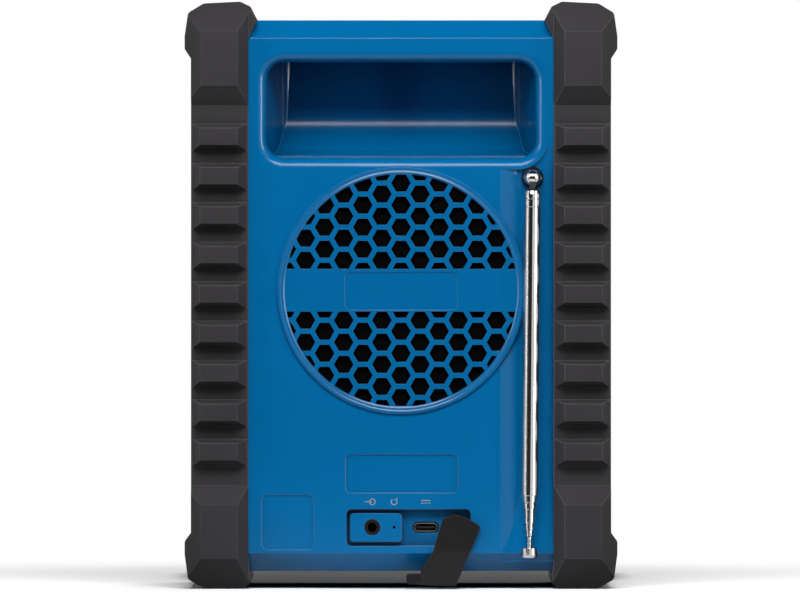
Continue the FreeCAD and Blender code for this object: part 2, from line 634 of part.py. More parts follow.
def board(name, y, top, holes):
    plate = block(name + "_plate", ("-54", "54"), (y, y + "+board_thick"), ("136", top))
    keep(name, cut(name, plate, *holes))


def boards():
    holes = [rod(f"board_hole_{k}", "Y", 1.3, "0", "45", (str(x), str(z)))
             for k, (x, z) in enumerate(BOARD_POSTS)]
    board("control_board", "board_y", "197", holes)
    board("main_board", "main_board_y", "200", holes)
    spacers = [rod(f"spacer_{k}", "Y", 2.6, "main_board_y+board_thick", "board_y", (str(x), str(z)))
               for k, (x, z) in enumerate(BOARD_POSTS)]
    keep("board_spacers", group("board_spacers", *spacers))
    chips = [((-30, -14), (146, 162), 3.0), ((4, 20), (150, 162), 2.0), ((26, 40), (172, 190), 6.0),
             ((-40, -24), (174, 190), 2.4), ((-6, 2), (174, 182), 8.0)]
    pieces = [block(f"chip_{k}", (str(x[0]), str(x[1])),
                    ("main_board_y+board_thick", f"main_board_y+board_thick+{tall}"), (str(z[0]), str(z[1])))
              for k, (x, z, tall) in enumerate(chips)]
    keep("board_parts", group("board_parts", *pieces))


# Ports

def ports():
    board = ("-31", "-29.4")
    keep("port_board", block("port_board", ("-19", "16"), board, ("12", "34")))
    back = "bay_deep+bay_floor+0.1-cabinet_back"
    case = fuse("jack_case",
                rod("jack_nose_rod", "Y", "jack_nose", "island_drop-cabinet_back", back,
                    ("jack_x", "port_z")),
                block("jack_block", ("jack_x-4.2", "jack_x+4.2"), (back, board[0]), ("port_z-4", "port_z+4")))
    bore = rod("jack_bore", "Y", "jack_bore", "-60", "island_drop+jack_deep-cabinet_back",
               ("jack_x", "port_z"))
    keep("jack_socket", cut("jack_socket", case, bore))
    wide, tall = D.usb_width / 2, D.usb_tall / 2
    shell = prism("usb_shell", "XZ_Plane",
                  rectangle(D.usb_x - wide, D.usb_x + wide, D.port_z - tall, D.port_z + tall, 1.6),
                  "bay_deep-0.4-cabinet_back", board[0])
    mouth = prism("usb_mouth", "XZ_Plane",
                  rectangle(D.usb_x - wide + 0.3, D.usb_x + wide - 0.3, D.port_z - tall + 0.3,
                            D.port_z + tall - 0.3, 1.3),
                  "-60", "-40.4")
    tongue = block("usb_tongue", ("usb_x-3.3", "usb_x+3.3"), ("-46.4", "-40"), ("port_z-0.35", "port_z+0.35"))
    keep("usb_c_socket", fuse("usb_c_socket", cut("usb_opened", shell, mouth), tongue))
    keep("reset_switch", block("reset_switch", ("reset_x-2.6", "reset_x+2.6"), ("-39", board[0]),
                               ("port_z-2.6", "port_z+2.6")))
    keep("reset_button", rod("reset_button", "Y", 1.3, "-41", "-39.4", ("reset_x", "port_z")))


def port_cover():
    """The rubber cover hangs open from a stem at the right end of the bay, its tip turned outwards."""
    root = -(D.cabinet_back + D.cover_gap)
    tip = root - D.cover_kick
    thick, long = D.cover_thick, D.cover_long
    side = outline([(root, D.cover_high), (root, -9), (tip, -long), (tip - thick, 0.6 - long),
                    (root - thick, -8.4), (root - thick, D.cover_high)], [0, 14, 0.4, 0.8, 14, 0.8])
    face = outline([(-1.3, 5.3), (-5.9, 3.4), (-8.1, -3.8), (-9.6, -9.0), (-13.0, -14.3), (-16.6, -21.3),
                    (-1.1, -21.9), (8.4, 0.4), (3.4, 3.4)], [2.5, 1.5, 0, 6, 0, 0.8, 0.8, 1.2, 2])
    strap = common("cover_strap", prism("cover_side", "YZ_Plane", side, "-20", "20"),
                   prism("cover_face", "XZ_Plane", face, "-70", "-40"))
    stem = outline([(0, -52.5), (D.stem_radius, -52.5), (D.stem_radius, -44.7), (2.4, -44.5), (1.9, -43.2),
                    (0, -42.4)])
    plug = prism("cover_plug", "XZ_Plane", rectangle(-19.6, -13.7, -21.2, -17.2, 1.2), f"{tip - 1.7}",
                 f"{tip - 1.7}+plug_long")
    cover = fuse("port_cover", strap, turned("cover_stem", "XY_Plane", stem), plug)
    keep("port_cover", put(cover, "cover_x", "0", "cover_z"))


# Antenna, drawn about its pivot and hung with a slight lean

def hang(name, thing):
    put(thing, "pivot_x", "pivot_y", "pivot_z", turn=Rotation(Vector(0, 1, 0), D.antenna_lean))
    return keep(name, thing)


def antenna_root():
    back = -D.cabinet_back - D.pivot_y
    bore, outer = D.swivel_radius + D.fit, D.bush_radius
    bush = outline([(bore + 0.15, back - 0.5), (outer - 0.3, back - 0.5), (outer, back), (outer, 10),
                    (bore, 10), (bore, back + 0.6), (bore + 0.15, back + 0.3)])
    hang("antenna_bush", turned("antenna_bush", "XY_Plane", bush))
    radius = D.swivel_radius
    post = [Part.Arc(Vector(0, -radius, 0), Vector(radius * math.sqrt(0.5), -radius * math.sqrt(0.5), 0),
                     Vector(radius, 0, 0)),
            *[Part.LineSegment(Vector(*a, 0), Vector(*b, 0)) for a, b in
              (((radius, 0), (radius, 14.9)), ((radius, 14.9), (2.2, 14.9)), ((2.2, 14.9), (2.2, 17.2)),
               ((2.2, 17.2), (0, 17.2)), ((0, 17.2), (0, -radius)))]]
    swivel = turned("swivel_post", "XY_Plane", post)
    slot = block("swivel_slot", ("-slot_width/2", "slot_width/2"), ("-10", "eye_radius+0.4"), ("-10", "10"))
    pin_bore = rod("swivel_pin_bore", "X", "pin_radius", "-10", "10", ("0", "0"))
    hang("antenna_swivel", cut("antenna_swivel", swivel, slot, pin_bore))
    washer = outline([(2.25, 15.0), (4.6, 15.0), (4.6, 16.4), (2.25, 16.4)])
    hang("antenna_nut", turned("antenna_nut", "XY_Plane", washer))
    hang("antenna_pin", group("antenna_pin", rod("pin_rod", "X", "pin_radius", "-2.9", "2.9", ("0", "0"))))


def antenna_tang():
    eye = rod("tang_eye", "X", "eye_radius", "-tang_thick/2", "tang_thick/2", ("0", "0"))
    blade = prism("tang_blade", "YZ_Plane",
                  outline([(-1.9, 0), (1.9, 0), (2.5, -4.2), (2.5, -5.6), (-2.5, -5.6), (-2.5, -4.2)]),
                  "-tang_thick/2", "tang_thick/2")
    plug = rod("tang_plug", "Z", 2.75, "tube_top-3.2", "tube_top-0.2", ("0", "0"))
    bore = rod("tang_bore", "X", "pin_radius+fit", "-5", "5", ("0", "0"))
    hang("antenna_tang", cut("antenna_tang", fuse("tang_solid", eye, blade, plug), bore))


def antenna_tubes():
    for number, (radius, end) in enumerate(TUBES, start=1):
        low = end - D.pivot_z
        top = D.tube_top - (number - 1) * 0.6 - (0 if number == 1 else 3.4)
        bore = TUBES[number][0] + D.fit if number < len(TUBES) else D.rod_radius + D.fit
        lip = 0.2
        points = [(bore, low), (radius - lip, low), (radius, low + lip)]
        if number == 1:
            for ring in (-11.0, -8.0):
                points += [(radius, ring - 0.2), (radius - 0.25, ring), (radius, ring + 0.2)]
            points += [(radius, top - 1.2), (radius - 0.3, top), (bore, top)]
        else:
            points += [(radius, top), (bore, top)]
        tube = turned(f"tube_{number}", "XZ_Plane", outline(points))
        hang(f"antenna_tube_{number}", tube)
    low, top = ROD_END - D.pivot_z, D.tube_top - 7.0
    rod_half = rectangle(0, D.rod_radius, low, top)
    hang("antenna_rod", turned("antenna_rod", "XZ_Plane", rod_half))
    tip = outline([(0, low - D.tip_tall), (D.tip_radius, low - D.tip_tall), (D.tip_radius, low), (0, low)],
                  [0, 1.2, 0.5, 0])
    hang("antenna_tip", turned("antenna_tip", "XZ_Plane", tip))


# Battery and screws

def battery():
    cells = [rod(f"cell_{k}", "X", "cell_radius", "-cell_long/2", "cell_long/2", (str(y), "cell_z"))
             for k, y in enumerate(CELL_PLACES)]
    keep("battery_cells", group("battery_cells", *cells))
    tray = block("battery_tray", ("-cell_long/2-3", "cell_long/2+3"), ("-19.5", "23.5"),
                 ("cabinet_bottom+wall", "cell_z+3"))
    beds = [rod(f"cell_bed_{k}", "X", "cell_radius+fit", "-cell_long/2-0.1", "cell_long/2+0.1",
                (str(y), "cell_z")) for k, y in enumerate(CELL_PLACES)]
    keep("battery_holder", cut("battery_holder", tray, *beds))


def screws():
    shanks = screw_columns("shell_shank", "screw_radius", "4-cabinet_back", "22")
    heads = screw_columns("shell_head", "screw_head", "0.8-cabinet_back", "4-cabinet_back")
    keep("shell_screws", group("shell_screws", *[fuse(f"shell_screw_{k}", *pair)
                                                 for k, pair in enumerate(zip(shanks, heads))]))
    shanks = foot_screw_rods("foot_shank", "screw_radius", "3.4", "13")
    heads = foot_screw_rods("foot_head", "screw_head", "0.9", "3.4")
    keep("bumper_screws", group("bumper_screws", *[fuse(f"foot_screw_{k}", *pair)
                                                   for k, pair in enumerate(zip(shanks, heads))]))


# The whole radio

seal = seal_ring()
rear_shell(seal)
front_shell(seal)
keep("shell_seal", seal)
front_fascia()
bumpers()
grille("rear_grille", "cabinet_back", -1, "grille_z", True)
grille("front_grille", "cabinet_back+fascia_thick", 1, "front_grille_z", False)
speaker()
bass_radiator()
display()
knob("volume_knob", -1)
knob("tuning_knob", 1)
buttons()
boards()
ports()
port_cover()
antenna_root()
antenna_tang()
antenna_tubes()
battery()
screws()
doc.recompute()

broken = [thing.Name for thing in doc.Objects if {"Invalid", "Error"} & set(thing.State)]
bad = [name for name, thing in parts.items() if thing.Shape.isNull() or not thing.Shape.isValid()]
if broken or bad:
    raise RuntimeError(f"failed objects {broken}, bad shapes {bad}")

os.makedirs("parts", exist_ok=True)
for name, thing in parts.items():
    thing.Shape.exportStep(f"parts/{name}.step")
    box = thing.Shape.BoundBox
    print(f"{name}: {len(thing.Shape.Solids)} solids, {thing.Shape.Volume:.0f} mm3, "
          f"X {box.XMin:.1f} {box.XMax:.1f} Y {box.YMin:.1f} {box.YMax:.1f} Z {box.ZMin:.1f} {box.ZMax:.1f}")
print(len(parts), "nodes")
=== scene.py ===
"""A jobsite radio seen from the rear, dressed for a studio picture."""

import logging
import math
from dataclasses import dataclass
from enum import Enum
from typing import Any

import bmesh
import bpy
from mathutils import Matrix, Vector


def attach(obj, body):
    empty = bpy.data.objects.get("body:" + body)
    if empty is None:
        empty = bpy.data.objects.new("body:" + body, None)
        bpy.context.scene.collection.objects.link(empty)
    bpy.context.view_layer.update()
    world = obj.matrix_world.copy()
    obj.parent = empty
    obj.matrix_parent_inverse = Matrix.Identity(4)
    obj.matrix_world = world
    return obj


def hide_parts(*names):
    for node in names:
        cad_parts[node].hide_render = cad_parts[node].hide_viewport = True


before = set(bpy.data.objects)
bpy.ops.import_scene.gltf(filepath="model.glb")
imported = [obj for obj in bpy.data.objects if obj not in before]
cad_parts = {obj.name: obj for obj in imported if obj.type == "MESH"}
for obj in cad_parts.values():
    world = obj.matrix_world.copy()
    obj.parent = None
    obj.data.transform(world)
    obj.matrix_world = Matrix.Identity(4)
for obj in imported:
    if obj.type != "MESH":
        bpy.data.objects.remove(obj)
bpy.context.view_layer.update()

log = logging.getLogger("radio")
MM = 0.001
ROOT = "cabinet"
SAME_POINT = 1e-7
Point = tuple[float, float, float]
Colour = tuple[float, float, float]
Stroke = list[tuple[float, float]]


def srgb(red: int, green: int, blue: int) -> Colour:
    """Turn a colour as a screen shows it into linear light.

    Args:
        red: Red from 0 to 255.
        green: Green from 0 to 255.
        blue: Blue from 0 to 255.

    Returns:
        The linear colour.
    """
    def linear(level: int) -> float:
        """One channel in linear light."""
        part = level / 255
        return part / 12.92 if part <= 0.04045 else ((part + 0.055) / 1.055) ** 2.4

    return linear(red), linear(green), linear(blue)


class Term:
    """A shader value that can be used in a Python formula."""

    def __init__(self, shader: "Shader", socket: Any) -> None:
        """Wrap a socket of a shader's node tree."""
        self.shader = shader
        self.socket = socket

    def math(self, operation: str, *values: Any) -> "Term":
        """Add a Math node.

        Args:
            operation: The node's operation.
            values: Its inputs, in order.

        Returns:
            The node's output.
        """
        inputs = {k: value for k, value in enumerate(values)}
        return self.shader.node("ShaderNodeMath", {"operation": operation}, inputs)

    def __add__(self, other: Any) -> "Term":
        """self + other."""
        return self.math("ADD", self, other)

    __radd__ = __add__

    def __sub__(self, other: Any) -> "Term":
        """self - other."""
        return self.math("SUBTRACT", self, other)

    def __rsub__(self, other: Any) -> "Term":
        """other - self."""
        return self.math("SUBTRACT", other, self)

    def __mul__(self, other: Any) -> "Term":
        """self * other."""
        return self.math("MULTIPLY", self, other)

    __rmul__ = __mul__


class Shader:
    """One material and the nodes in it."""

    def __init__(self, name: str) -> None:
        """Make an empty material with a Principled shader."""
        self.material = bpy.data.materials.new(name)
        self.material.use_nodes = True
        self.tree = self.material.node_tree
        self.surface = self.tree.nodes["Principled BSDF"]

    def node(self, kind: str, settings: dict[str, Any], inputs: dict[Any, Any],
             output: int | str = 0) -> Term:
        """Add a node.

        Args:
            kind: The node's type.
            settings: Properties that are set first.
            inputs: Values or terms for its sockets.
            output: Which output to return.

        Returns:
            The output as a term.
        """
        made = self.tree.nodes.new(kind)
        for key, value in settings.items():
            setattr(made, key, value)
        for key, value in inputs.items():
            self.feed(made.inputs[key], value)
        return Term(self, made.outputs[output])

    def feed(self, socket: Any, value: Any) -> None:
        """Link a term to a socket, or set the socket's own value."""
        if isinstance(value, Term):
            self.tree.links.new(value.socket, socket)
        else:
            lacks_alpha = len_of(value) == 3 and len_of(socket.default_value) == 4
            socket.default_value = (*value, 1) if lacks_alpha else value

    def place(self) -> Term:
        """Object coordinates, in metres."""
        return self.node("ShaderNodeTexCoord", {}, {}, "Object")

    def noise(self, size: float, detail: float) -> Term:
        """Smooth noise.

        Args:
            size: The size of one patch, in metres.
            detail: How many finer layers it has.

        Returns:
            The noise, from 0 to 1.
        """
        inputs = {"Vector": self.place(), "Scale": 1 / size, "Detail": detail}
        return self.node("ShaderNodeTexNoise", {}, inputs, "Fac")

    def blend(self, share: Term, first: Any, second: Any) -> Term:
        """Mix two colours.

        Args:
            share: The second colour's share.
            first: The first colour.
            second: The second colour.

        Returns:
            The mixed colour.
        """
        return self.node("ShaderNodeMix", {"data_type": "RGBA"}, {0: share, 6: first, 7: second}, 2)

    def ramp(self, value: Term, low: float, high: float, kind: str = "LINEAR") -> Term:
        """Turn low to 0 and high to 1, and hold it there beyond them."""
        limits = {"Value": value, "From Min": low, "From Max": high}
        return self.node("ShaderNodeMapRange", {"interpolation_type": kind}, limits, "Result")

    def rounded(self, radius: float) -> Term:
        """The normal with its edges rounded."""
        return self.node("ShaderNodeBevel", {"samples": 6}, {"Radius": radius})


def len_of(value: Any) -> int:
    """How many numbers a value has, 0 for a plain number."""
    try:
        return len(value)
    except TypeError:
        return 0


@dataclass(frozen=True)
class Finish:
    """A moulded, painted or cast surface."""

    name: str
    colour: Colour
    rough: float = 0.5
    metal: float = 0.0
    grain: float = 0.3 * MM
    grain_depth: float = 0.01 * MM
    cloudiness: float = 0.08
    cloud: float = 25 * MM
    speckle: float = 0.04
    tint: float = 0.06
    edge: float = 0.35 * MM
    specular: float = 0.5
    dark_behind: float | None = None
    tongue_and_shade_black: Colour = (0.004, 0.004, 0.004)
    shade: float = 0.0
    painted_shade_level: float = 0.12
    edge_wear_and_highlight: float = 0.0
    edge_range: tuple[float, float] = (0.995, 0.93)

    def material(self) -> Any:
        """Build the material once.

        Returns:
            The Blender material.
        """
        if self.name in bpy.data.materials:
            return bpy.data.materials[self.name]
        shader = Shader(self.name)
        clouds = shader.noise(self.cloud, 3)
        speckle = shader.noise(self.grain, 1)
        dark, light = [tuple(min(1, channel * (1 + change)) for channel in self.colour)
                       for change in (-self.tint, self.tint)]
        mixed = shader.blend(clouds, dark, light)
        # Painted shade: ambient occlusion from the part's own mesh darkens its colour in hollows, in creases
        # and between ribs.
        if self.shade:
            open_air = shader.node("ShaderNodeAmbientOcclusion", {"samples": 6, "only_local": True},
                                   {"Distance": self.shade}, "AO")
            mixed = shader.blend(open_air, tuple(channel * self.painted_shade_level for channel in self.colour), mixed)
        # Painted highlight: sharp edges get a paler colour, standing for light caught on rims and hex edges,
        # and on the rubber also for wear.
        if self.edge_wear_and_highlight:
            pale = tuple(channel + self.edge_wear_and_highlight for channel in self.colour)
            mixed = shader.blend(self.edges(shader), mixed, pale)
        if self.dark_behind is None:
            shader.surface.inputs["Metallic"].default_value = self.metal
        else:
            # Painted shade: behind dark_behind the socket turns near-black and not metal, for its black
            # tongue and the shade deep inside it.
            mixed = shader.blend(self.depth(shader), mixed, self.tongue_and_shade_black)
            shader.feed(shader.surface.inputs["Metallic"], 1 - self.depth(shader))
        shader.feed(shader.surface.inputs["Base Color"], mixed)
        least = self.rough - self.cloudiness - self.speckle / 2
        rough = clouds * (2 * self.cloudiness) + speckle * self.speckle + least
        shader.feed(shader.surface.inputs["Roughness"], rough)
        shader.surface.inputs["Specular IOR Level"].default_value = self.specular
        self.relief(shader, speckle)
        return shader.material

    def edges(self, shader: Shader) -> Term:
        """1 on the sharp edges and 0 elsewhere."""
        facing = shader.node("ShaderNodeNewGeometry", {}, {}, "Normal")
        same = shader.node("ShaderNodeVectorMath", {"operation": "DOT_PRODUCT"},
                           {0: shader.rounded(self.edge), 1: facing}, "Value")
        return shader.ramp(same, *self.edge_range)

    def depth(self, shader: Shader) -> Term:
        """0 at the mouth of a socket and 1 behind its face."""
        apart = shader.node("ShaderNodeSeparateXYZ", {}, {0: shader.place()}, "Y")
        return shader.ramp(apart, self.dark_behind - 0.05 * MM, self.dark_behind + 0.05 * MM)

    def relief(self, shader: Shader, height: Term) -> None:
        """Rounded edges with a fine grain on top, or neither on a polished tube."""
        if not self.grain_depth:
            return
        bump = shader.node("ShaderNodeBump", {}, {"Strength": 1.0, "Distance": self.grain_depth,
                                                  "Height": height, "Normal": shader.rounded(self.edge)})
        shader.feed(shader.surface.inputs["Normal"], bump)


@dataclass(frozen=True)
class Weave(Finish):
    """Black acoustic cloth."""

    thread: float = 0.6 * MM
    bands: float = 0.31
    raised: float = 0.3

    def relief(self, shader: Shader, height: Term) -> None:
        """Threads crossing over and under."""
        waves = [shader.node("ShaderNodeTexWave", {"bands_direction": axis},
                             {"Vector": shader.place(), "Scale": self.bands / self.thread}, "Fac")
                 for axis in ("X", "Z")]
        bump = shader.node("ShaderNodeBump", {}, {"Strength": 1.0, "Distance": self.thread * self.raised,
                                                  "Height": waves[0] * waves[1]})
        shader.feed(shader.surface.inputs["Normal"], bump)


@dataclass(frozen=True)
class Glow(Finish):
    """A lit mark on the display."""

    strength: float = 1.2

    def material(self) -> Any:
        """Build the lit material.

        Returns:
            The Blender material.
        """
        made = super().material()
        surface = made.node_tree.nodes["Principled BSDF"]
        surface.inputs["Emission Color"].default_value = (*self.colour, 1)
        surface.inputs["Emission Strength"].default_value = self.strength
        return made


class Look(Enum):
    """The finishes of the radio."""

    # PANEL and RUBBER paint shade into their own hollows and between the ribs.
    PANEL = Finish("panel blue", srgb(0, 105, 164), rough=0.19, grain=0.25 * MM, grain_depth=0.004 * MM,
                   cloudiness=0.03, tint=0.03, edge=0.5 * MM, specular=0.27, shade=24 * MM, edge_wear_and_highlight=0.02)
    # PANEL, GRILLE, RUBBER and COVER paint their sharp edges paler: a painted highlight, and on the rubber
    # also wear.
    GRILLE = Finish("grille blue", srgb(0, 104, 163), rough=0.19, grain=0.25 * MM, grain_depth=0.004 * MM,
                    cloudiness=0.03, tint=0.03, edge=0.25 * MM, specular=0.32, edge_wear_and_highlight=0.03)
    RUBBER = Finish("bumper rubber", srgb(58, 56, 58), rough=0.5, grain=0.4 * MM, grain_depth=0.014 * MM,
                    cloudiness=0.05, tint=0.08, edge=0.42 * MM, specular=0.07, shade=4 * MM, edge_wear_and_highlight=0.1)
    COVER = Finish("cover rubber", srgb(21, 20, 21), rough=0.5, grain=0.6 * MM, grain_depth=0.02 * MM,
                   cloudiness=0.08, tint=0.3, edge=0.4 * MM, specular=0.14, edge_wear_and_highlight=0.02)
    BLACK = Finish("black plastic", srgb(18, 18, 19), rough=0.45, edge=0.3 * MM, specular=0.15)
    GREY = Finish("button grey", srgb(72, 72, 76), rough=0.5, edge=0.4 * MM)
    CLOTH = Weave("acoustic cloth", srgb(6, 6, 7), rough=0.9, tint=0.2, specular=0.03)
    SEAL = Finish("seal rubber", srgb(20, 20, 20), rough=0.7, edge=0.2 * MM)
    CHROME = Finish("antenna chrome", (0.52, 0.52, 0.52), rough=0.13, metal=1.0, grain_depth=0.0,
                    cloudiness=0.02, tint=0.02)
    STEEL = Finish("zinc steel", (0.52, 0.52, 0.5), rough=0.32, metal=1.0, edge=0.2 * MM)
    # NICKEL paints the socket near-black behind its mouth, for its black tongue and painted shade.
    NICKEL = Finish("dark nickel", (0.2, 0.2, 0.21), rough=0.3, metal=1.0, edge=0.1 * MM,
                    dark_behind=-47.5 * MM)
    WINDOW = Finish("smoked window", srgb(10, 12, 14), rough=0.1, grain_depth=0.0004 * MM, cloudiness=0.02,
                    edge=0.3 * MM)
    BOARD = Finish("circuit board", srgb(20, 84, 50), rough=0.35, edge=0.1 * MM)
    MAGNET = Finish("ferrite", srgb(52, 52, 54), rough=0.6, edge=0.4 * MM)
    PAPER = Finish("cone paper", srgb(38, 38, 38), rough=0.85, grain=0.8 * MM, grain_depth=0.05 * MM)
    CELL = Finish("cell wrap", srgb(40, 110, 150), rough=0.3)
    INK = Finish("pale ink", srgb(150, 160, 160), rough=0.6, edge=0.02 * MM)
    WHITE_INK = Finish("white ink", srgb(225, 225, 225), rough=0.6, edge=0.02 * MM)
    DIGITS = Glow("lit digits", srgb(190, 225, 245), rough=0.5, edge=0.02 * MM)


def dress(look: Look, *nodes: str) -> None:
    """Give CAD nodes a finish.

    Args:
        look: The finish.
        nodes: The names of the nodes.
    """
    for name in nodes:
        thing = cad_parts[name]
        if not thing.material_slots:
            thing.data.materials.append(None)
        for slot in thing.material_slots:
            slot.link = "OBJECT"
            slot.material = look.value.material()
        log.info("dressed %s in %s", name, look.value.name)


def piece(name: str, mesh: Any, look: Look, body: str = ROOT) -> Any:
    """Make an object of a mesh, dress it and let it ride on a body.

    Args:
        name: The piece's name.
        mesh: Its mesh.
        look: Its finish.
        body: The body that it rides on.

    Returns:
        The object.
    """
    made = bpy.data.objects.new(name, mesh)
    bpy.context.scene.collection.objects.link(made)
    mesh.materials.clear()
    mesh.materials.append(look.value.material())
    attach(made, body)
    log.info("built %s with %d faces", name, len(mesh.polygons))
    return made


def ribbon(name: str, strokes: list[Stroke], width: float, height: float,
           place: Point, facing: int) -> Any:
    """A flat drawing made of strokes, lying on an upright face.

    Args:
        name: The mesh's name.
        strokes: Lines of points, in metres, across and up.
        width: The width of a stroke.
        height: How far it stands out of the face.
        place: The middle of the drawing.
        facing: -1 where the face looks to the rear, 1 to the front.

    Returns:
        The mesh.
    """
    form = bmesh.new()
    for stroke in strokes:
        points = [Vector((x, z)) for x, z in stroke]
        closed = (points[0] - points[-1]).length < SAME_POINT
        sides: list[tuple[Any, Any, Any, Any]] = []
        for k, here in enumerate(points):
            before = points[k - 1] if k else (points[-2] if closed else here)
            after = points[k + 1] if k + 1 < len(points) else (points[1] if closed else here)
            along = (after - before).normalized()
            out = Vector((-along.y, along.x)) * width / 2
            sides.append(tuple(form.verts.new((place[0] - facing * flat.x, place[1] + facing * depth,
                                               place[2] + flat.y))
                               for flat, depth in ((here + out, 0), (here + out, height),
                                                   (here - out, height), (here - out, 0))))
        for first, second in zip(sides, sides[1:]):
            for k in range(4):
                form.faces.new((first[k], second[k], second[(k + 1) % 4], first[(k + 1) % 4]))
        if not closed:
            form.faces.new(sides[0])
            form.faces.new(reversed(sides[-1]))
    bmesh.ops.remove_doubles(form, verts=form.verts, dist=SAME_POINT)
    bmesh.ops.recalc_face_normals(form, faces=form.faces)
    mesh = bpy.data.meshes.new(name)
    form.to_mesh(mesh)
    form.free()
    return mesh


def arc(radius: float, start: float, end: float, count: int = 24) -> Stroke:
    """Points round an arc, in degrees."""
    turns = [math.radians(start + (end - start) * k / count) for k in range(count + 1)]
    return [(radius * math.cos(turn), radius * math.sin(turn)) for turn in turns]


@dataclass
class Cabinet:
    """The two blue shells, their seal and the screws."""

    def build(self) -> None:
        """Dress the shells and what holds them."""
        dress(Look.PANEL, "rear_shell", "front_shell")
        dress(Look.SEAL, "shell_seal")
        dress(Look.STEEL, "shell_screws", "bumper_screws")
        dress(Look.BLACK, "front_fascia")


@dataclass
class Bumpers:
    """The two ribbed rubber guards."""

    rounding: float = 0.14 * MM
    facets: int = 3
    fullness: float = 0.6
    weld: float = 0.001 * MM
    flat_angle: float = 1.0
    sharp_angle: float = 14.0

    def softened(self, name: str, node: str) -> Any:
        """Copy a guard's mesh from the frame and round its sharp edges.

        Args:
            name: The new mesh's name.
            node: The CAD node.

        Returns:
            The mesh.
        """
        form = bmesh.new()
        form.from_mesh(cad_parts[node].data)
        bmesh.ops.remove_doubles(form, verts=form.verts, dist=self.weld)
        bmesh.ops.dissolve_limit(form, angle_limit=math.radians(self.flat_angle), verts=form.verts,
                                 edges=form.edges)
        sharp = [edge for edge in form.edges
                 if len(edge.link_faces) == 2 and edge.calc_face_angle(0) > math.radians(self.sharp_angle)]
        bmesh.ops.bevel(form, geom=sharp, offset=self.rounding, segments=self.facets, profile=self.fullness,
                        affect="EDGES", clamp_overlap=True, miter_outer="SHARP")
        mesh = bpy.data.meshes.new(name)
        form.to_mesh(mesh)
        form.free()
        for face in mesh.polygons:
            face.use_smooth = True
        return mesh

    def build(self) -> None:
        """Round the guards' edges."""
        for side in ("left_bumper", "right_bumper"):
            made = piece(side + "_skin", self.softened(side + "_skin", side), Look.RUBBER)
            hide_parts(side)


@dataclass
class Grilles:
    """The two round grilles with the cloth behind them."""

    def build(self) -> None:
        """Dress the plates and the cloths."""
        dress(Look.GRILLE, "rear_grille", "front_grille")
        dress(Look.CLOTH, "rear_grille_cloth", "front_grille_cloth")
        dress(Look.PAPER, "speaker_cone", "speaker_dust_cap", "radiator_diaphragm")
        dress(Look.BLACK, "speaker_basket", "radiator_frame")
        dress(Look.MAGNET, "speaker_magnet")
        dress(Look.STEEL, "speaker_screws")


@dataclass
class PortBay:
    """The sockets, the rubber cover and the marks over them."""

    panel: float = -51 * MM
    marks_z: float = 32.7 * MM
    line: float = 0.32 * MM
    raised: float = 0.08 * MM
    jack_x: float = -10.8 * MM
    reset_x: float = -2.6 * MM
    power_x: float = 9.3 * MM
    ring: float = 1.1 * MM
    half_dash: float = 0.38 * MM
    dash_step: float = 1.3 * MM
    half_gap: float = 0.5 * MM
    half_line: float = 1.7 * MM

    def sound_mark(self) -> list[Stroke]:
        """An arrow into a ring."""
        tail, point, barb = -2.9 * MM, -0.2 * MM, 0.7 * MM
        return [arc(self.ring, 0, 360), [(tail, 0), (point, 0)],
                [(-self.ring, barb), (point, 0), (-self.ring, -barb)]]

    def reset_mark(self) -> list[Stroke]:
        """A ring that ends in an arrow."""
        arrow = [(0.1 * MM, 0.9 * MM), (0.95 * MM, 0.65 * MM), (1.2 * MM, 1.55 * MM)]
        return [arc(self.ring, 120, 400), arrow]

    def power_mark(self) -> list[Stroke]:
        """A line over three dashes, for direct current."""
        dashes = [[(x - self.half_dash, -self.half_gap), (x + self.half_dash, -self.half_gap)]
                  for x in (-self.dash_step, 0.0, self.dash_step)]
        return [[(-self.half_line, self.half_gap), (self.half_line, self.half_gap)], *dashes]

    def build(self) -> None:
        """Dress the sockets and print the marks."""
        dress(Look.BLACK, "jack_socket", "reset_switch", "reset_button")
        dress(Look.NICKEL, "usb_c_socket")
        dress(Look.BOARD, "port_board")
        dress(Look.COVER, "port_cover")
        for name, x, strokes in (("jack", self.jack_x, self.sound_mark()),
                                 ("reset", self.reset_x, self.reset_mark()),
                                 ("power", self.power_x, self.power_mark())):
            place = (x, self.panel, self.marks_z)
            mesh = ribbon(name + "_mark", strokes, self.line, self.raised, place, -1)
            piece(name + "_mark", mesh, Look.INK)


@dataclass
class Antenna:
    """The folding telescopic antenna."""

    tubes: int = 6

    def build(self) -> None:
        """Dress the root and the tubes."""
        dress(Look.BLACK, "antenna_bush")
        dress(Look.CHROME, "antenna_swivel", "antenna_pin", "antenna_tang", "antenna_rod", "antenna_tip",
              *[f"antenna_tube_{k + 1}" for k in range(self.tubes)])
        dress(Look.STEEL, "antenna_nut")


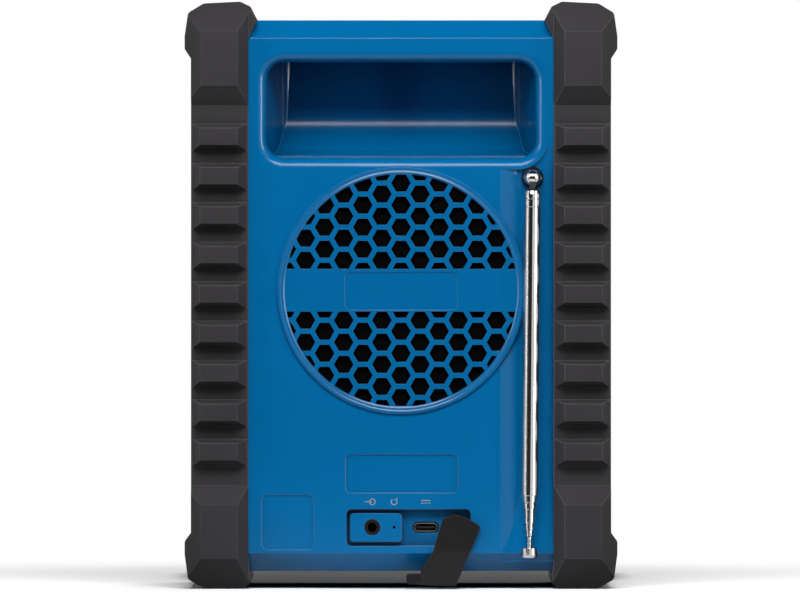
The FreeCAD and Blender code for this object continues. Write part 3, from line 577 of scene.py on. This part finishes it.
@dataclass
class FrontPanel:
    """The knobs, buttons and display on the front."""

    button_face: float = 54.5 * MM
    window_face: float = 53.0 * MM
    row_z: float = 144.0 * MM
    display_z: float = 173.5 * MM
    pitch: float = 15.0 * MM
    line: float = 0.45 * MM
    mark_raised: float = 0.08 * MM
    half_numeral: float = 0.85 * MM
    power_ring: float = 1.5 * MM
    half_bar: float = 1.6 * MM
    bar_step: float = 1.0 * MM
    half_digit: float = 3.0 * MM
    digit_step: float = 9.5 * MM
    half_colon: float = 0.2
    digit_line: float = 1.1 * MM
    digit_raised: float = 0.05 * MM
    segment_share: float = 0.86

    def numeral(self, digit: int, scale: float) -> list[Stroke]:
        """A plain numeral from seven straight segments.

        Args:
            digit: The numeral, from 0 to 5.
            scale: Half its width.

        Returns:
            The strokes.
        """
        lit = ("abcdef", "bc", "abged", "abgcd", "fgbc", "afgcd")[digit]
        corner = {"a": ((-1, 2), (1, 2)), "b": ((1, 2), (1, 0)), "c": ((1, 0), (1, -2)),
                  "d": ((-1, -2), (1, -2)), "e": ((-1, 0), (-1, -2)), "f": ((-1, 2), (-1, 0)),
                  "g": ((-1, 0), (1, 0))}
        strokes = []
        for segment in lit:
            (x0, z0), (x1, z1) = corner[segment]
            middle = Vector(((x0 + x1) / 2, (z0 + z1) / 2))
            ends = [middle + (Vector(end) - middle) * self.segment_share for end in ((x0, z0), (x1, z1))]
            strokes.append([(end.x * scale, end.y * scale) for end in ends])
        return strokes

    def button_marks(self) -> dict[str, list[Stroke]]:
        """The drawing on each button, from left to right as the front is seen."""
        power = [arc(self.power_ring, 120, 420), [(0, 0.3 * MM), (0, 1.9 * MM)]]
        bars = [[(-self.half_bar, z), (self.half_bar, z)] for z in (-self.bar_step, 0.0, self.bar_step)]
        presets = {f"preset_button_{k}": self.numeral(k, self.half_numeral) for k in range(1, 5)}
        return {"power_button": power, **presets, "mode_button": bars}

    def build(self) -> None:
        """Dress the controls and draw their marks."""
        marks = self.button_marks()
        dress(Look.BLACK, "volume_knob", "tuning_knob")
        dress(Look.GREY, *marks)
        dress(Look.WINDOW, "display_window")
        middle = (len(marks) - 1) / 2
        for k, (name, strokes) in enumerate(marks.items()):
            place = ((middle - k) * self.pitch, self.button_face, self.row_z)
            mesh = ribbon(name + "_mark", strokes, self.line, self.mark_raised, place, 1)
            piece(name + "_mark", mesh, Look.WHITE_INK, name)
        for k, digit in enumerate((1, 0, 2, 5)):
            across = (1.5 - k + (self.half_colon if k < 2 else -self.half_colon)) * self.digit_step
            place = (across, self.window_face, self.display_z)
            mesh = ribbon(f"display_digit_{k}", self.numeral(digit, self.half_digit), self.digit_line,
                          self.digit_raised, place, 1)
            piece(f"display_digit_{k}", mesh, Look.DIGITS)


@dataclass
class Inside:
    """What the cabinet holds."""

    def build(self) -> None:
        """Dress the boards, the battery and the hidden controls."""
        dress(Look.BOARD, "control_board", "main_board")
        dress(Look.BLACK, "board_parts", "button_switches", "battery_holder", "display_module")
        dress(Look.STEEL, "board_spacers", "volume_shaft", "tuning_shaft", "volume_encoder", "tuning_encoder")
        dress(Look.CELL, "battery_cells")


@dataclass(frozen=True)
class Lamp:
    """A soft rectangular lamp that points at the radio."""

    name: str
    place: Point
    size: tuple[float, float]
    watts: float
    gloss_only: bool = False

    def hang(self, aim: Point) -> None:
        """Make the lamp.

        Args:
            aim: What it points at.
        """
        light = bpy.data.lights.new(self.name, "AREA")
        light.shape = "RECTANGLE"
        light.size, light.size_y = self.size
        light.energy = self.watts
        made = bpy.data.objects.new(self.name, light)
        made.location = self.place
        made.rotation_euler = (Vector(aim) - Vector(self.place)).to_track_quat("-Z", "Y").to_euler()
        made.visible_diffuse = not self.gloss_only
        bpy.context.scene.collection.objects.link(made)


@dataclass(frozen=True)
class Flag:
    """A black card that only reflections show, so that gloss and chrome have something dark to mirror."""

    name: str
    place: Point
    half: tuple[float, float]
    lean: float


@dataclass
class Studio:
    """The camera, the lamps and the white surroundings."""

    scale: float = 0.375 * MM
    image_wide: int = 800
    image_tall: int = 600
    floor_row: float = 589.2
    middle_column: float = 401.0
    plane: float = -55 * MM
    distance: float = 4.0
    sensor: float = 36.0
    far_limit: float = 20.0
    half_floor: float = 3.0
    grey: float = 0.2
    # The grey of the painted shadow that the camera sees on the floor under and behind the radio.
    under: float = 0.28
    bounce: float = 1.0
    white: float = 1.35
    world: float = 0.05
    shadow_reach: float = 0.22
    patch_rim: tuple[float, float] = (0.9, 1.1)
    painted_shadow_middle: float = 0.14
    painted_shadow_half: tuple[float, float] = (0.085, 0.185)
    bounce_middle: float = -0.095
    bounce_half: tuple[float, float] = (0.072, 0.045)
    flag_black: Colour = srgb(12, 12, 12)
    aim: Point = (0.0, 0.0, 0.11)
    flags: tuple[Flag, ...] = (Flag("front flag", (-1.1, -1.35, 1.45), (1.3, 1.43), 90),
                               Flag("low flag", (-0.21, -0.35, 0.152), (0.29, 0.15), 90),
                               Flag("top flag", (0.0, -0.4, 1.9), (1.6, 1.6), 0))
    lamps: tuple[Lamp, ...] = (Lamp("key lamp", (0.0, -0.75, 0.75), (0.6, 0.4), 8.6),
                               Lamp("left strip", (-1.2, -0.8, 0.35), (0.06, 0.9), 3.4),
                               Lamp("right strip", (1.2, -0.8, 0.35), (0.06, 0.9), 3.4),
                               Lamp("left glint", (-1.3, -0.9, 0.3), (0.25, 0.9), 11.0, True),
                               Lamp("right glint", (1.3, -0.9, 0.3), (0.25, 0.9), 11.0, True),
                               Lamp("front lamp", (0.3, 1.2, 0.8), (0.8, 0.6), 9.0))

    def camera(self) -> None:
        """A long lens looking straight at the rear."""
        lens = bpy.data.cameras.new("camera")
        lens.sensor_width = self.sensor
        lens.lens = self.sensor * self.distance / (self.image_wide * self.scale)
        lens.clip_end = self.far_limit
        eye = bpy.data.objects.new("camera", lens)
        eye.location = ((self.image_wide / 2 - self.middle_column) * self.scale, self.plane - self.distance,
                        (self.floor_row - self.image_tall / 2) * self.scale)
        eye.rotation_euler = (math.radians(90), 0, 0)
        bpy.context.scene.collection.objects.link(eye)
        bpy.context.scene.camera = eye

    def card(self, name: str, half: tuple[float, float], material: Any) -> Any:
        """A rectangular sheet that belongs to the studio.

        Args:
            name: The sheet's name.
            half: Half its width and half its height.
            material: What covers it.

        Returns:
            The sheet, lying level at the origin.
        """
        form = bmesh.new()
        bmesh.ops.create_grid(form, x_segments=1, y_segments=1, size=1.0)
        mesh = bpy.data.meshes.new(name)
        form.to_mesh(mesh)
        form.free()
        made = bpy.data.objects.new(name, mesh)
        made.scale = (*half, 1.0)
        bpy.context.scene.collection.objects.link(made)
        mesh.materials.append(material)
        return made

    def patch(self, shader: Shader, middle: float, half: tuple[float, float]) -> Term:
        """0 on an oval of the floor and 1 round it.

        Args:
            shader: The floor's material.
            middle: The oval's middle, in metres in front of the radio's own. The rear is at less than 0.
            half: Half its width and half its depth.

        Returns:
            The mask, soft at the oval's rim.
        """
        oval = shader.node("ShaderNodeMapping", {}, {"Vector": self.spot(shader),
                                                     "Scale": (1 / half[0], 1 / half[1], 1.0),
                                                     "Location": (0.0, -middle / half[1], 0.0)})
        beside = shader.node("ShaderNodeVectorMath", {"operation": "LENGTH"}, {0: oval}, "Value")
        return shader.ramp(beside, *self.patch_rim, "SMOOTHSTEP")

    def spot(self, shader: Shader) -> Term:
        """The place on the floor, in metres."""
        return shader.node("ShaderNodeNewGeometry", {}, {}, "Position")

    def floor_material(self) -> Any:
        """A grey floor that the camera sees as white, with the radio's cast shadow close to it and a painted
        shadow under and behind it.

        Returns:
            The material.
        """
        shader = Shader("studio floor")
        shader.tree.nodes.remove(shader.surface)
        camera, gloss, through = [shader.node("ShaderNodeLightPath", {}, {}, f"Is {kind} Ray")
                                  for kind in ("Camera", "Glossy", "Transmission")]
        seen = camera.math("MAXIMUM", camera.math("MAXIMUM", camera, gloss), through)
        away = shader.node("ShaderNodeVectorMath", {"operation": "LENGTH"}, {0: self.spot(shader)}, "Value")
        far = shader.ramp(away, self.shadow_reach, 2 * self.shadow_reach, "SMOOTHSTEP")
        dull, bright, dark, bounce = [shader.node("ShaderNodeBsdfDiffuse", {}, {"Color": (grey,) * 3})
                                      for grey in (self.grey, self.white, self.under, self.bounce)]
        plain = shader.node("ShaderNodeEmission", {}, {"Color": (1.0, 1.0, 1.0), "Strength": 1.0})
        # Painted shadow: to the camera the floor is darker in an oval under and behind the radio, besides the
        # shadow that the lamps cast.
        shown = self.either(shader, self.patch(shader, self.painted_shadow_middle, self.painted_shadow_half), dark, bright)
        cast = self.either(shader, self.patch(shader, self.bounce_middle, self.bounce_half), bounce, dull)
        near = self.either(shader, seen, cast, shown)
        mixed = self.either(shader, seen * far, near, plain)
        shader.feed(shader.tree.nodes["Material Output"].inputs["Surface"], mixed)
        return shader.material

    def either(self, shader: Shader, share: Term, first: Term, second: Term) -> Term:
        """Mix two shaders.

        Args:
            shader: The material.
            share: The second shader's share.
            first: The first shader.
            second: The second shader.

        Returns:
            The mixed shader.
        """
        return shader.node("ShaderNodeMixShader", {}, {0: share, 1: first, 2: second})

    def sky(self) -> None:
        """A dim world that is white where it is seen."""
        world = bpy.data.worlds.new("studio")
        bpy.context.scene.world = world
        world.use_nodes = True
        tree = world.node_tree
        dim, plain = tree.nodes["Background"], tree.nodes.new("ShaderNodeBackground")
        for background, strength in ((dim, self.world), (plain, 1.0)):
            background.inputs["Color"].default_value = (1, 1, 1, 1)
            background.inputs["Strength"].default_value = strength
        path = tree.nodes.new("ShaderNodeLightPath")
        seen = [tree.nodes.new("ShaderNodeMath") for _ in range(2)]
        for step, ray in zip(seen, ("Is Glossy Ray", "Is Transmission Ray")):
            step.operation = "MAXIMUM"
            tree.links.new(path.outputs[ray], step.inputs[1])
        tree.links.new(path.outputs["Is Camera Ray"], seen[0].inputs[0])
        tree.links.new(seen[0].outputs[0], seen[1].inputs[0])
        mixer = tree.nodes.new("ShaderNodeMixShader")
        for link, source in enumerate((seen[1], dim, plain)):
            tree.links.new(source.outputs[0], mixer.inputs[link])
        tree.links.new(mixer.outputs[0], tree.nodes["World Output"].inputs[0])

    def build(self) -> None:
        """Set up the picture."""
        self.camera()
        self.sky()
        self.card("floor", (self.half_floor, self.half_floor), self.floor_material())
        black = Finish("flag black", self.flag_black, rough=0.9).material()
        for flag in self.flags:
            made = self.card(flag.name, flag.half, black)
            made.location = flag.place
            made.rotation_euler = (math.radians(flag.lean), 0, 0)
            made.visible_camera = made.visible_diffuse = made.visible_shadow = False
        for lamp in self.lamps:
            lamp.hang(self.aim)


def main() -> None:
    """Build the radio and the studio in order."""
    logging.basicConfig(level=logging.INFO, format="%(message)s")
    bpy.context.scene.view_settings.view_transform = "Standard"
    for part in (Studio(), Cabinet(), Bumpers(), Grilles(), PortBay(), Antenna(), FrontPanel(), Inside()):
        part.build()
        log.info("finished %s", type(part).__name__)


if __name__ == "__main__":
    main()
